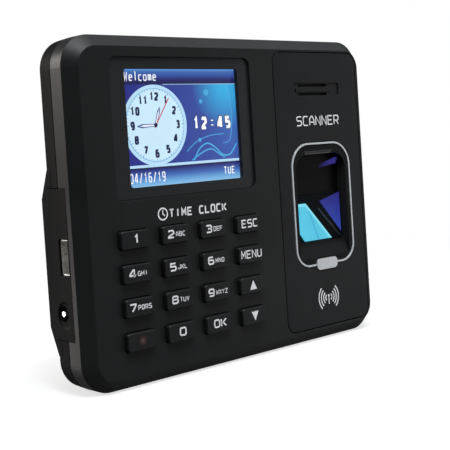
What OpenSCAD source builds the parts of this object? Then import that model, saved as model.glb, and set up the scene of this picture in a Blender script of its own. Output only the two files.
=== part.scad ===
// Fingerprint scanner terminal: wall-hung time clock with colour screen, sixteen-key pad and
// optical finger reader.
// X runs to the viewer's right, Z up, and the front faces -Y. The wall is the plane Y = 0.
// Depths named "depth" or d are measured backwards (+Y) from the flat front face.

/* [Case] */
// overall width of the case
case_w = 157.5; // [140:0.5:180]
// overall height of the case
case_h = 129.5; // [115:0.5:150]
// overall depth from the key tops to the wall
total_depth = 38.1; // [34:0.1:45]
// corner radius seen from the front
corner_r = 12; // [8:0.5:18]
// width of the sloping border round the flat face
bevel_in = 4.4; // [2:0.1:6]
// depth of the sloping border
bevel_depth = 4.6; // [2:0.1:6]
// thickness of the moulded walls
wall = 2.2; // [1.6:0.1:3]
// depth of the parting line between the two covers
split_depth = 11.5; // [9:0.1:13]
// depth of the slim outer shell
shell_depth = 19.5; // [17.5:0.1:20]
// width of the pod on the back
pod_w = 116; // [90:1:124]
// height of the pod on the back
pod_h = 100; // [80:1:106]

/* [Screen] */
// centre of the screen across the face
screen_x = -26.9; // [-30:0.1:-20]
// centre of the screen up the face
screen_z = 30.3; // [24:0.1:34]
// width of the clear window
window_w = 57; // [50:0.1:60]
// height of the clear window
window_h = 43.9; // [38:0.1:46]
// width of the flush screen lens
lens_w = 68.9; // [64:0.1:72]
// height of the flush screen lens
lens_h = 52.2; // [48:0.1:56]
// thickness of the screen lens
lens_t = 1; // [0.6:0.1:1.5]

/* [Keypad] */
// left edge of the first column of keys
keys_x = -62.3; // [-64:0.1:-58]
// top edge of the first row of keys
keys_z = -6.8; // [-10:0.1:-5]
// distance from one column to the next
pitch_x = 18.8; // [17:0.05:20]
// distance from one row to the next
pitch_z = 12.37; // [11:0.01:13]
// width of a key
key_w = 12.7; // [11:0.1:14]
// height of a key
key_h = 6.6; // [5:0.1:8]
// how far a key stands out of the face
key_proud = 2; // [1.5:0.1:2.5]
// how far a key can be pressed
key_travel = 1.2; // [0.8:0.1:1.5]
// gap round a key in its hole
key_gap = 0.3; // [0.2:0.05:0.5]

/* [Scanner] */
// centre of the scanner side across the face
scan_x = 46.95; // [44:0.05:50]
// width of the scanner panel
panel_w = 51.4; // [46:0.1:54]
// height of the scanner panel
panel_h = 117.8; // [100:0.1:119]
// width of the trim ring, outside
ring_w = 36.8; // [32:0.1:40]
// height of the trim ring, outside
ring_h = 53; // [46:0.1:58]
// centre of the trim ring up the face
ring_z = -5.9; // [-10:0.1:0]
// width of the trim ring's band
ring_band = 0.8; // [0.8:0.1:1.5]
// width of the finger recess
bay_w = 31.1; // [26:0.1:33]
// depth of the finger recess above the window
bay_depth = 4.4; // [4.2:0.1:5]
// width of the sensor window
glass_w = 30.3; // [24:0.1:32]
// height of the sensor window
glass_h = 20.8; // [14:0.1:22]

/* [Ports] */
// height of the USB socket's centre
usb_z = -14.5; // [-20:0.1:-10]
// depth of the USB socket's centre
usb_depth = 10.95; // [9:0.05:12]
// height of the power jack's centre
jack_z = -35.1; // [-40:0.1:-30]
// depth of the power jack's centre
jack_depth = 14.4; // [12:0.1:15]
// top of the raised port section
port_top = 10.2; // [5:0.05:15]
// bottom of the raised port section
port_bottom = -44.7; // [-48:0.1:-40]
// depth of the raised port section
port_depth = 24.6; // [21:0.1:26]

/* [Mounting] */
// width of the wall plate
plate_w = 84; // [70:1:100]
// height of the wall plate
plate_h = 70; // [60:1:90]
// thickness of the wall plate
plate_t = 1.2; // [1:0.1:2]
// distance between wall screws across
bolt_x = 60; // [40:1:80]
// distance between wall screws up
bolt_z = 50; // [30:1:60]
// radius of a wall screw hole
bolt_r = 2.2; // [1.8:0.1:3]

/* [Hidden] */
$fn = 48;
eps = 0.01;
face_y = -(total_depth - key_proud);
back_depth = -face_y;
pod_depth = back_depth - plate_t;
face_w = case_w - 2 * bevel_in;
face_h = case_h - 2 * bevel_in;
left_x = -case_w / 2;
pod_wall = 2.2;
back_wall = 2;

panel_z = 0.2;
panel_t = 2;
panel_gap = 0.45;
panel_back = 1.6;
panel_r = 5;

key_flange = 0.8;
flange_depth = 2.5;
flange_t = 1;
key_end = 4.6;
dome_depth = key_end + key_travel + 0.1;
mat_depth = 7;
mat_t = 1;
pad_board_t = 1.2;
pad_board_depth = mat_depth + mat_t;
pad_mid_x = keys_x + (3 * pitch_x + key_w) / 2;
pad_mid_z = keys_z - (3 * pitch_z + key_h) / 2;
pad_board_w = 3 * pitch_x + key_w + 2.6;
pad_board_h = 3 * pitch_z + key_h + 4.4;

board_depth = 13.8;
board_t = 1.6;
board_left = -75.3;
board_right = 24;
board_h = 99.8;
board_screw_at = [[-71, 47.5], [-71, -47.5], [16, 44], [16, -44]];

lcd_depth = 2.8;
lcd_t = 1.4;
lcd_w = 66;
lcd_h = 48;
lcd_tray_w = 68.6;
lcd_tray_h = 50.4;
light_t = 2.2;
lcd_end = lcd_depth + lcd_t + light_t + 0.3;

bay_top = 15.7;
bay_mid = -22.4;
ramp_end = -29.4;
bay_r = 7;
ring_r_top = 10.5;
ring_r_low = 8;
well_end = 6;
glass_depth = 3.1;
glass_t = 0.8;
glass_top = -1.4;
ring_gap = 0.35;
lip_w = 17;
lip_shift = -1.2;
badge_w = 13;
badge_h = 4.8;
badge_r = 2.1;
badge_z = ring_z - (ring_h - ring_band) / 2;
housing_end = 13.2;
housing_w = 32;
housing_h = 24;
housing_z = -12.4;
sensor_board_t = 1;

speaker_z = 43.4;
speaker_r = 11.5;
slot_w = 17.8;
slot_h = 1.1;
slot_rise = 1.85;
slot_shift = -2.1;
dish_w = 28.4;
dish_h = 5.6;

antenna_z = -46.5;
antenna_w = 36;
antenna_h = 20;

case_screw_x = 68.5;
case_screw_z = 54.5;
case_boss_r = 3.2;
board_boss_r = 2.6;
key_boss_r = 2;

port_wall = 2.4;
port_front = 7.4;
port_right = -56;
port_inner = -64;
port_crest = 17;
port_foot = -51;
port_slope = 12.1;
port_edge = 0.8;
rear_draft = 0.35;
rear_edge = 0.6;
usb_w = 12.8;
usb_t = 5.3;
usb_len = 14;
usb_skin = 0.3;
usb_mouth = left_x + 0.75;
tongue_mouth = left_x + 4.75;
jack_w = 9;
jack_len = 12.5;
jack_r = 2.9;
jack_hole_r = 3;
jack_mouth = left_x + port_wall + 0.1;
pin_r = 1;
pin_tip = left_x + 0.5;
plug_reach = 9;
jack_dish_r = 5.2;

hook_w = 12;
hook_x = 28;
hook_z = 22;
hook_reach = 3.6;
lock_z = -pod_h / 2 + pod_wall + 0.2;

// Y of a depth behind the flat front face.
function at(d) = face_y + d;

// Rounded rectangle with its own radii at the top and bottom corners.
module rrect(w, h, rt, rb) {
    translate([-w / 2 + rt, 0])
        square([w - 2 * rt, h / 2]);
    translate([-w / 2 + rb, -h / 2])
        square([w - 2 * rb, h / 2]);
    translate([-w / 2, -h / 2 + rb])
        square([w, h - rt - rb]);
    for (s = [-1, 1]) {
        translate([s * (w / 2 - rt), h / 2 - rt])
            circle(r = rt);
        translate([s * (w / 2 - rb), -h / 2 + rb])
            circle(r = rb);
    }
}

// Anything drawn in the XZ plane, thickened from depth d0 back to depth d1.
module thick(d0, d1) {
    translate([0, at(d1), 0])
        rotate([90, 0, 0])
            linear_extrude(d1 - d0)
                children();
}

// Upright plate with rounded corners, from depth d0 to d1.
module slab(x, z, w, h, r, d0, d1) {
    translate([x, 0, z])
        thick(d0, d1)
            rrect(w, h, r, r);
}

// Square-edged block from depth d0 to d1.
module block(x0, x1, z0, z1, d0, d1) {
    translate([x0, at(d0), z0])
        cube([x1 - x0, d1 - d0, z1 - z0]);
}

// Round bar along the depth.
module rod(x, z, r, d0, d1) {
    translate([x, at(d1), z])
        rotate([90, 0, 0])
            cylinder(h = d1 - d0, r = r);
}

// Plate whose edge slopes: inset by in0 at depth d0 and by in1 at depth d1.
module sloped(x, z, w, h, r, d0, in0, d1, in1) {
    translate([x, 0, z]) {
        translate([0, 0, -(h / 2 - r)])
            linear_extrude(h - 2 * r)
                polygon([[-w / 2 + in0, at(d0)], [w / 2 - in0, at(d0)],
                         [w / 2 - in1, at(d1)], [-w / 2 + in1, at(d1)]]);
        translate([-(w / 2 - r), 0, 0])
            rotate([90, 0, 90])
                linear_extrude(w - 2 * r)
                    polygon([[at(d0), -h / 2 + in0], [at(d0), h / 2 - in0],
                             [at(d1), h / 2 - in1], [at(d1), -h / 2 + in1]]);
        for (sx = [-1, 1], sz = [-1, 1])
            translate([sx * (w / 2 - r), at(d1), sz * (h / 2 - r)])
                rotate([90, 0, 0])
                    cylinder(h = d1 - d0, r1 = r - in1, r2 = r - in0);
    }
}

// Screw with a pan head at depth d, its shank reaching forwards.
module screw(x, z, head_r, head_t, shank_r, len, d) {
    difference() {
        rod(x, z, head_r, d, d + head_t);
        for (a = [0, 90])
            translate([x, at(d + head_t), z])
                rotate([0, a, 0])
                    cube([head_r, head_t, 0.5], center = true);
    }
    rod(x, z, shank_r, d - len, d + eps);
}

// Centre of the key in column c and row r, counted from the top left.
function key_cx(c) = keys_x + key_w / 2 + c * pitch_x;
function key_cz(r) = keys_z - key_h / 2 - r * pitch_z;

// The four posts that hold the keypad board, in the gaps between keys.
module at_key_posts() {
    for (c = [0.5, 2.5], r = [0.5, 2.5])
        translate([key_cx(c), 0, key_cz(r)])
            children();
}

// The four main board screws.
module at_board_screws() {
    for (p = board_screw_at)
        translate([p[0], 0, p[1]])
            children();
}

// The four case screws.
module at_case_screws() {
    for (sx = [-1, 1], sz = [-1, 1])
        translate([sx * case_screw_x, 0, sz * case_screw_z])
            children();
}

// Outline of the trim ring, inset by g.
module ring_shape(g) {
    rrect(ring_w - 2 * g, ring_h - 2 * g, ring_r_top - g, ring_r_low - g);
}

module front_shell() {
    difference() {
        union() {
            sloped(0, 0, case_w, case_h, corner_r, 0, bevel_in, bevel_depth, 0);
            slab(0, 0, case_w, case_h, corner_r, bevel_depth, split_depth);
        }
        sloped(0, 0, case_w - 2 * wall, case_h - 2 * wall, corner_r - wall,
               wall, bevel_in, wall + bevel_depth, 0);
        slab(0, 0, case_w - 2 * wall, case_h - 2 * wall, corner_r - wall,
             wall + bevel_depth, split_depth + 1);
    }
    slab(scan_x, panel_z, panel_w + 3, panel_h + 2.4, panel_r + 1, panel_t - 0.6,
         panel_t + panel_back);
}

module front_cover() {
    color([0.07, 0.07, 0.075])
        difference() {
            union() {
                front_shell();
                at_case_screws()
                    rod(0, 0, case_boss_r, panel_t + 0.1, 14.3);
                at_board_screws()
                    rod(0, 0, board_boss_r, wall - 0.5, board_depth - 0.1);
                at_key_posts()
                    rod(0, 0, key_boss_r, wall - 0.5, pad_board_depth - 0.05);
            }
            slab(screen_x, screen_z, lens_w + 0.3, lens_h + 0.3, 3, -1, lens_t);
            slab(screen_x, screen_z, window_w, window_h, 1.2, -1, wall + 1);
            for (c = [0:3], r = [0:3])
                slab(key_cx(c), key_cz(r), key_w + 2 * key_gap, key_h + 2 * key_gap, 1.2,
                     -1, wall + 1);
            slab(scan_x, panel_z, panel_w + 2 * panel_gap, panel_h + 2 * panel_gap,
                 panel_r, -1, panel_t);
            translate([scan_x, 0, ring_z])
                thick(0, panel_t + panel_back + 1)
                    ring_shape(-0.5);
            rod(scan_x, speaker_z, speaker_r - 0.5, 0, panel_t + panel_back + 1);
            block(left_x - 1, left_x + port_wall + 0.4, port_bottom - 0.2, port_top + 0.2,
                  port_front - 0.2, split_depth + 1);
            at_case_screws()
                rod(0, 0, 1.3, 5, 15);
            at_board_screws()
                rod(0, 0, 1.05, 6, 15);
            at_key_posts()
                rod(0, 0, 0.85, 3.4, 9);
        }
}

// Side profile of the raised port section, inset by g. It rises gently out of the back of the shell.
module port_profile(g) {
    front = port_front + (g > 0 ? -1 : 0);
    rise = shell_depth - rear_edge;
    polygon([[at(front), port_bottom + g], [at(front), port_top - g],
             [at(shell_depth - 3), port_top - g], [at(shell_depth - 3), port_crest - g],
             [at(rise - g), port_crest - g],
             [at(port_depth - 0.4 - g), port_crest - port_slope + 0.6],
             [at(port_depth - g), port_crest - port_slope - 0.6 - g / 4],
             [at(port_depth - g), port_foot + port_slope + 1.3 + g / 4],
             [at(port_depth - 0.9 - g), port_foot + port_slope - 2.1],
             [at(rise - g), port_foot + g],
             [at(shell_depth - 3), port_foot + g], [at(shell_depth - 3), port_bottom + g]]);
}

module port_block() {
    intersection() {
        translate([left_x, 0, 0])
            rotate([90, 0, 90])
                linear_extrude(port_right - left_x)
                    port_profile(0);
        translate([0, 0, -case_h / 2])
            linear_extrude(case_h)
                polygon([[left_x, at(port_front)], [left_x, at(split_depth)],
                         [left_x + rear_draft, at(port_depth - port_edge)],
                         [left_x + rear_draft + port_edge, at(port_depth)],
                         [port_right, at(port_depth)], [port_right, at(port_front)]]);
    }
}

module rear_shell() {
    edge_start = shell_depth - rear_edge;
    difference() {
        union() {
            slab(0, 0, case_w - 0.7, case_h - 0.7, corner_r - 0.35, split_depth,
                 split_depth + 0.5);
            sloped(0, 0, case_w, case_h, corner_r, split_depth + 0.4, 0, edge_start, rear_draft);
            sloped(0, 0, case_w, case_h, corner_r, edge_start, rear_draft, shell_depth,
                   rear_draft + rear_edge);
            slab(0, 0, pod_w, pod_h, 6, shell_depth - 1, pod_depth);
            port_block();
        }
        slab(0, 0, case_w - 2 * wall, case_h - 2 * wall, corner_r - wall,
             split_depth - 1, shell_depth - back_wall);
        slab(0, 0, pod_w - 2 * pod_wall, pod_h - 2 * pod_wall, 4, split_depth,
             pod_depth - pod_wall);
        translate([left_x + port_wall, 0, 0])
            rotate([90, 0, 90])
                linear_extrude(port_right - left_x)
                    port_profile(2);
        // room for the keypad and screen beside the port section, and for two screw heads
        block(port_inner, port_right + 1, port_bottom - 3, port_top + 3, 0,
              shell_depth - back_wall);
        at_board_screws()
            rod(0, 0, 2.8, shell_depth - back_wall - 0.5, shell_depth - 0.8);
        // fine seams above and below the port section
        for (z = [port_top, port_bottom - 0.3])
            block(left_x - 1, left_x + 1, z, z + 0.3, split_depth - 1, shell_depth - 0.4);
    }
}

// Lip of the rear cover that locates inside the front cover's wall.
module rear_lip() {
    g = wall + 0.15;
    difference() {
        union() {
            slab(0, 0, case_w - 2 * g, case_h - 2 * g, corner_r - g, split_depth - 1.8,
                 split_depth + 1);
            slab(0, 0, case_w - 2, case_h - 2, corner_r - 1, split_depth + 0.6,
                 split_depth + 2);
        }
        slab(0, 0, case_w - 2 * g - 2.4, case_h - 2 * g - 2.4, corner_r - g - 1.2,
             split_depth - 3, split_depth + 3);
        block(left_x + 1.5, left_x + 20, port_bottom - 1.5, port_top + 1.5, 0, split_depth + 3);
    }
}

module rear_cover() {
    color([0.075, 0.073, 0.072])
        difference() {
            union() {
                rear_shell();
                rear_lip();
                at_case_screws()
                    rod(0, 0, 4.4, 14.4, shell_depth - 1);
            }
            at_case_screws() {
                rod(0, 0, 3.1, 16, shell_depth + 1);
                rod(0, 0, 1.7, 14, 17);
            }
            // USB window and power jack hole in the port wall
            block(left_x - 1, left_x + port_wall + 1, usb_z - usb_w / 2 - 0.25,
                  usb_z + usb_w / 2 + 0.25, usb_depth - usb_t / 2 - 0.25,
                  usb_depth + usb_t / 2 + 0.25);
            translate([left_x - 1, at(jack_depth), jack_z])
                rotate([0, 90, 0])
                    cylinder(h = port_wall + 2, r = jack_hole_r);
            translate([left_x - eps, at(jack_depth - 1.5), jack_z - 0.4])
                rotate([0, 90, 0])
                    cylinder(h = 0.6, r1 = jack_dish_r, r2 = jack_dish_r - 1);
            // slots for the wall plate's hooks and locking tab, and the locking screw's hole
            for (s = [-1, 1])
                block(s * hook_x - hook_w / 2 - 0.5, s * hook_x + hook_w / 2 + 0.5,
                      hook_z - 6, hook_z + 0.1, pod_depth - pod_wall - 1, pod_depth + 1);
            block(-9, 9, lock_z - 0.2, lock_z + plate_t + 0.3, pod_depth - pod_wall - 1,
                  pod_depth + 1);
            translate([0, at(pod_depth - 7), -pod_h / 2 - 1])
                cylinder(h = pod_wall + 2, r = 1.7);
            translate([0, at(pod_depth - 7), -pod_h / 2 - 1])
                cylinder(h = 1.9, r = 3.1);
        }
}

module screen_lens() {
    color([0.1, 0.12, 0.14, 0.4])
        slab(screen_x, screen_z, lens_w, lens_h, 2.85, 0, lens_t - 0.02);
}

module lcd_gasket() {
    color([0.25, 0.23, 0.21])
        difference() {
            slab(screen_x, screen_z, lcd_w, lcd_h, 1, wall, lcd_depth);
            slab(screen_x, screen_z, window_w + 0.4, window_h + 0.4, 1.2, wall - 1,
                 lcd_depth + 1);
        }
}

module lcd_panel() {
    color([0.1, 0.25, 0.55])
        slab(screen_x, screen_z, lcd_w, lcd_h, 0.5, lcd_depth, lcd_depth + lcd_t);
}

module lcd_backlight() {
    color([0.9, 0.9, 0.88])
        slab(screen_x, screen_z, lcd_w, lcd_h, 0.5, lcd_depth + lcd_t + 0.02,
             lcd_depth + lcd_t + light_t);
}

module lcd_tray() {
    color([0.7, 0.71, 0.72])
        difference() {
            slab(screen_x, screen_z, lcd_tray_w, lcd_tray_h, 1, lcd_depth + 0.3, lcd_end);
            slab(screen_x, screen_z, lcd_w + 0.1, lcd_h + 0.1, 0.5, 0, lcd_end - 0.28);
            // relief windows in the back of the pressed tray
            for (s = [-1, 1])
                slab(screen_x + s * 16, screen_z, 22, 30, 2, lcd_depth, lcd_end + 1);
        }
}

module lcd_ribbon() {
    z0 = screen_z - lcd_tray_h / 2 - 1.2;
    color([0.75, 0.45, 0.12]) {
        block(screen_x - 12, screen_x + 12, z0, screen_z - lcd_tray_h / 2 + 7, lcd_end + 0.05,
              lcd_end + 0.25);
        block(screen_x - 12, screen_x + 12, z0, z0 + 0.2, lcd_end + 0.05, board_depth - 1);
        block(screen_x - 12, screen_x + 12, z0 - 5, z0 + 0.2, board_depth - 1.2,
              board_depth - 1);
    }
}

// One key: bevelled cap, retaining flange and actuating post.
module key_cap(c, r) {
    edge = 0.25;
    color([0.11, 0.11, 0.115]) {
        sloped(key_cx(c), key_cz(r), key_w, key_h, 1, -key_proud, edge, edge - key_proud, 0);
        slab(key_cx(c), key_cz(r), key_w, key_h, 1, edge - key_proud, flange_depth);
        slab(key_cx(c), key_cz(r), key_w + 2 * key_flange, key_h + 2 * key_flange, 1.2,
             flange_depth, flange_depth + flange_t);
        rod(key_cx(c), key_cz(r), 1.8, flange_depth + flange_t - eps, key_end);
    }
}

module key_1() {
    key_cap(0, 0);
}

module key_2() {
    key_cap(1, 0);
}

module key_3() {
    key_cap(2, 0);
}

module key_esc() {
    key_cap(3, 0);
}

module key_4() {
    key_cap(0, 1);
}

module key_5() {
    key_cap(1, 1);
}

module key_6() {
    key_cap(2, 1);
}

module key_menu() {
    key_cap(3, 1);
}

module key_7() {
    key_cap(0, 2);
}

module key_8() {
    key_cap(1, 2);
}

module key_9() {
    key_cap(2, 2);
}

module key_up() {
    key_cap(3, 2);
}

module key_power() {
    key_cap(0, 3);
}

module key_0() {
    key_cap(1, 3);
}

module key_ok() {
    key_cap(2, 3);
}

module key_down() {
    key_cap(3, 3);
}

module key_mat() {
    color([0.55, 0.57, 0.58])
        difference() {
            union() {
                slab(pad_mid_x, pad_mid_z, pad_board_w - 1, pad_board_h - 1, 1.5, mat_depth,
                     mat_depth + mat_t - 0.02);
                for (c = [0:3], r = [0:3]) {
                    rod(key_cx(c), key_cz(r), 3.2, dome_depth + 0.4, mat_depth + eps);
                    rod(key_cx(c), key_cz(r), 1.8, dome_depth, dome_depth + 0.4 + eps);
                }
            }
            for (c = [0:3], r = [0:3])
                rod(key_cx(c), key_cz(r), 2.4, mat_depth - 0.2, mat_depth + mat_t + 1);
            at_key_posts()
                rod(0, 0, key_boss_r + 0.2, 0, pad_board_depth + 1);
        }
}

module keypad_board() {
    color([0.06, 0.3, 0.14])
        difference() {
            slab(pad_mid_x, pad_mid_z, pad_board_w, pad_board_h, 1, pad_board_depth,
                 pad_board_depth + pad_board_t);
            at_key_posts()
                rod(0, 0, 1.1, 0, 20);
        }
}

module keypad_screws() {
    color([0.72, 0.72, 0.73])
        at_key_posts()
            screw(0, 0, 1.8, 1.1, 0.8, 5, pad_board_depth + pad_board_t);
}

module scanner_panel() {
    color([0.085, 0.085, 0.09])
        difference() {
            slab(scan_x, panel_z, panel_w, panel_h, panel_r - panel_gap, 0, panel_t - 0.02);
            translate([scan_x, 0, ring_z])
                thick(-1, panel_t + 1)
                    ring_shape(-ring_gap);
            slab(scan_x, badge_z, badge_w + 0.2, badge_h + 0.2, badge_r + 0.1, -1, 0.6);
            // speaker dish with two sound slots either side of a rib
            slab(scan_x, speaker_z, dish_w, dish_h, 1, -1, 0.5);
            for (s = [-1, 1])
                slab(scan_x + slot_shift, speaker_z + s * slot_rise, slot_w, slot_h, 0.5, -1,
                     panel_t + 1);
        }
    color([0.085, 0.085, 0.09])
        slab(scan_x + slot_shift, speaker_z, slot_w + 3.4, 1.9, 0.6, 0.1, 0.8);
}

module trim_ring() {
    color([0.8, 0.81, 0.82])
        translate([scan_x, 0, ring_z])
            difference() {
                thick(-0.25, 1.4)
                    ring_shape(0);
                thick(-1, 3)
                    ring_shape(ring_band);
                slab(0, badge_z - ring_z, badge_w + 0.1, badge_h + 0.1, badge_r + 0.05, -1, 0.62);
            }
}

module trim_badge() {
    color([0.82, 0.83, 0.84])
        slab(scan_x, badge_z, badge_w, badge_h, badge_r, -0.45, 0.6);
}

module finger_well() {
    color([0.06, 0.06, 0.065])
        difference() {
            union() {
                translate([scan_x, 0, ring_z])
                    thick(0.1, 1.42)
                        ring_shape(ring_band + 0.05);
                translate([scan_x, 0, ring_z])
                    thick(1.41, well_end)
                        ring_shape(0.05);
            }
            // recess above the window, with a bevel round its mouth
            translate([scan_x, 0, (bay_top + bay_mid) / 2]) {
                thick(-1, bay_depth)
                    rrect(bay_w, bay_top - bay_mid, bay_r, 0.6);
            }
            translate([scan_x + lip_shift, 0, 0])
                rotate([90, 0, 90])
                    linear_extrude(lip_w, center = true)
                        polygon([[at(-1), bay_top - 1], [at(-1), bay_top + 1.9],
                                 [at(1.4), bay_top - 0.6], [at(1.4), bay_top - 1]]);
            // ramp that leads the finger in from below
            translate([scan_x, 0, 0])
                rotate([90, 0, 90])
                    linear_extrude(bay_w, center = true)
                        polygon([[at(-1), bay_mid + 1], [at(glass_depth), bay_mid + 1],
                                 [at(glass_depth), bay_mid - 0.4], [at(0.1), ramp_end],
                                 [at(-1), ramp_end]]);
            slab(scan_x, badge_z, badge_w + 0.1, badge_h + 0.1, badge_r + 0.05, -1, 0.62);
            // seat and opening for the sensor window
            block(scan_x - glass_w / 2 - 0.1, scan_x + glass_w / 2 + 0.1,
                  glass_top - glass_h - 0.1, glass_top + 0.1, 0.5, glass_depth + glass_t);
            block(scan_x - glass_w / 2 + 0.8, scan_x + glass_w / 2 + 0.1,
                  glass_top - glass_h + 0.1, glass_top - 0.4, 0.5, well_end + 1);
        }
}

module sensor_window() {
    color([0.5, 0.8, 0.9, 0.4])
        block(scan_x - glass_w / 2, scan_x + glass_w / 2, glass_top - glass_h, glass_top,
              glass_depth, glass_depth + glass_t);
}

// Sloping edges that divide the lit area under the window: cyan guide, dark baffle, blue mirror.
lit_left = scan_x - glass_w / 2 + 1;
lit_right = scan_x + glass_w / 2 - 0.1;
lit_low = glass_top - glass_h + 0.3;
lit_top = glass_top - 0.6;
lit_depth = glass_depth + glass_t + 0.2;
guide_top = -5.5;
guide_left = 39;
guide_foot = -14;
guide_corner = 40.2;
guide_end = 55.7;
mirror_corner = 48.9;
mirror_top = -5.1;
mirror_low = -19.7;

module light_guide() {
    color([0.35, 0.85, 0.95])
        thick(lit_depth, lit_depth + 0.8)
            polygon([[lit_left, guide_top], [guide_corner, guide_top], [guide_end, lit_low],
                     [guide_left, lit_low], [lit_left, guide_foot]]);
}

module light_baffle() {
    color([0.05, 0.05, 0.06])
        thick(lit_depth, lit_depth + 1.2)
            polygon([[lit_left, guide_top + 0.1], [lit_left, lit_top], [lit_right, lit_top],
                     [mirror_corner, mirror_top], [lit_right, mirror_low],
                     [lit_right, lit_low], [guide_end + 0.15, lit_low],
                     [guide_corner + 0.05, guide_top + 0.1]]);
}

module sensor_mirror() {
    color([0.15, 0.25, 0.75])
        thick(lit_depth, lit_depth + 0.8)
            polygon([[mirror_corner + 0.2, mirror_top + 0.03], [lit_right, lit_top - 0.1],
                     [lit_right, mirror_low + 0.2]]);
}

module sensor_housing() {
    color([0.05, 0.05, 0.055])
        difference() {
            slab(scan_x, housing_z, housing_w, housing_h, 1.5, well_end + 0.02, housing_end);
            slab(scan_x, housing_z, housing_w - 3.2, housing_h - 3.2, 0.8, well_end - 1,
                 housing_end - 1.4);
            rod(scan_x, housing_z, 3.3, well_end, housing_end + 1);
        }
}

module sensor_lens() {
    color([0.12, 0.12, 0.14])
        difference() {
            rod(scan_x, housing_z, 3.2, 9, housing_end + 0.1);
            rod(scan_x, housing_z, 2.1, 8, 10.2);
        }
}

module sensor_board() {
    color([0.06, 0.3, 0.14])
        slab(scan_x, housing_z, housing_w - 2, housing_h - 1, 0.8, housing_end + 0.12,
             housing_end + 0.12 + sensor_board_t);
}

module sensor_leds() {
    color([0.85, 0.92, 1])
        for (sx = [-1, 1], sz = [-1, 1])
            block(scan_x + sx * 10 - 1.6, scan_x + sx * 10 + 1.6, housing_z + sz * 6 - 0.9,
                  housing_z + sz * 6 + 0.9, housing_end - 2.2, housing_end - 1.42);
}

module sensor_ribbon() {
    color([0.75, 0.45, 0.12]) {
        block(board_right - 8, scan_x - 6, housing_z - 5, housing_z + 5,
              board_depth + board_t + 0.05, board_depth + board_t + 0.25);
        block(scan_x - 6.2, scan_x - 6, housing_z - 5, housing_z + 5,
              housing_end + sensor_board_t + 0.15, board_depth + board_t + 0.25);
    }
}

module speaker_mesh() {
    color([0.03, 0.03, 0.03])
        rod(scan_x, speaker_z, speaker_r - 0.7, panel_t, panel_t + 0.3);
}

module speaker_frame() {
    color([0.2, 0.2, 0.21])
        difference() {
            union() {
                rod(scan_x, speaker_z, speaker_r + 1, panel_t + panel_back + 0.02, 5.2);
                rod(scan_x, speaker_z, speaker_r - 0.4, 5.2 - eps, 8.4);
            }
            rod(scan_x, speaker_z, speaker_r - 1.4, 0, 7.4);
            rod(scan_x, speaker_z, 4, 7, 9);
        }
}

module speaker_cone() {
    color([0.1, 0.1, 0.1])
        translate([scan_x, at(4), speaker_z])
            rotate([-90, 0, 0])
                rotate_extrude()
                    polygon([[0, 2.2], [2.8, 2.2], [speaker_r - 2.4, 0.4], [speaker_r - 1.5, 0.4],
                             [speaker_r - 1.5, 0.8], [speaker_r - 2.3, 0.8], [3, 2.7], [0, 2.7]]);
}

module speaker_magnet() {
    color([0.6, 0.61, 0.62])
        rod(scan_x, speaker_z, 6, 8.42, 11);
}

module antenna_board() {
    color([0.06, 0.3, 0.14])
        slab(scan_x, antenna_z, antenna_w, antenna_h, 1, 4.4, 5.2);
}

module antenna_coil() {
    color([0.72, 0.45, 0.2])
        translate([scan_x, 0, antenna_z])
            for (i = [0:3])
                difference() {
                    thick(5.21, 5.35)
                        rrect(antenna_w - 3 - 3 * i, antenna_h - 3 - 3 * i, 1, 1);
                    thick(5, 6)
                        rrect(antenna_w - 4.6 - 3 * i, antenna_h - 4.6 - 3 * i, 0.5, 0.5);
                }
}

module main_board() {
    color([0.06, 0.3, 0.14])
        difference() {
            block(board_left, board_right, -board_h / 2, board_h / 2, board_depth,
                  board_depth + board_t);
            block(board_left - 1, jack_mouth + jack_len + 0.4, jack_z - jack_w / 2 - 0.3,
                  jack_z + jack_w / 2 + 0.3, board_depth - 1, board_depth + 3);
            at_board_screws()
                rod(0, 0, 1.4, 0, 20);
        }
}

module board_chips() {
    d = board_depth - 0.02;
    color([0.08, 0.08, 0.085]) {
        block(-30, -16, -34, -20, d - 1.4, d);
        block(-8, 2, -36, -18, d - 1.2, d);
        block(-52, -46, -38, -28, d - 1.5, d);
        block(6, 14, -20, -12, d - 1.2, d);
        block(-58, -44, 14, 22, d - 3.4, d);
        block(-10, 2, 24, 40, d - 2.4, d);
    }
}

module board_screws() {
    color([0.72, 0.72, 0.73])
        at_board_screws()
            screw(0, 0, 2.4, 1.5, 1, 7, board_depth + board_t);
}

module cell_holder() {
    color([0.07, 0.07, 0.07])
        difference() {
            rod(0, 18, 12.4, board_depth + board_t + 0.02, board_depth + board_t + 4.4);
            rod(0, 18, 10.15, board_depth + board_t + 0.8, 30);
            block(-4, 4, 5, 12, board_depth + board_t + 2.4, 30);
        }
}

module coin_cell() {
    color([0.82, 0.83, 0.84])
        rod(0, 18, 10, board_depth + board_t + 0.85, board_depth + board_t + 4.05);
}

module usb_shell() {
    color([0.8, 0.8, 0.81])
        difference() {
            block(usb_mouth, usb_mouth + usb_len, usb_z - usb_w / 2, usb_z + usb_w / 2,
                  usb_depth - usb_t / 2, usb_depth + usb_t / 2);
            block(usb_mouth - 1, usb_mouth + usb_len - usb_skin, usb_z - usb_w / 2 + usb_skin,
                  usb_z + usb_w / 2 - usb_skin, usb_depth - usb_t / 2 + usb_skin,
                  usb_depth + usb_t / 2 - usb_skin);
        }
}

module usb_tongue() {
    color([0.93, 0.93, 0.9])
        union() {
            block(tongue_mouth, usb_mouth + usb_len - 2, usb_z - 5.6, usb_z + 5.6,
                  usb_depth - 0.1, usb_depth + 1.8);
            block(usb_mouth + usb_len - 2 - eps, usb_mouth + usb_len - usb_skin - 0.02,
                  usb_z - usb_w / 2 + usb_skin + 0.05, usb_z + usb_w / 2 - usb_skin - 0.05,
                  usb_depth - usb_t / 2 + usb_skin + 0.05, usb_depth + usb_t / 2 - usb_skin - 0.05);
        }
}

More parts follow.
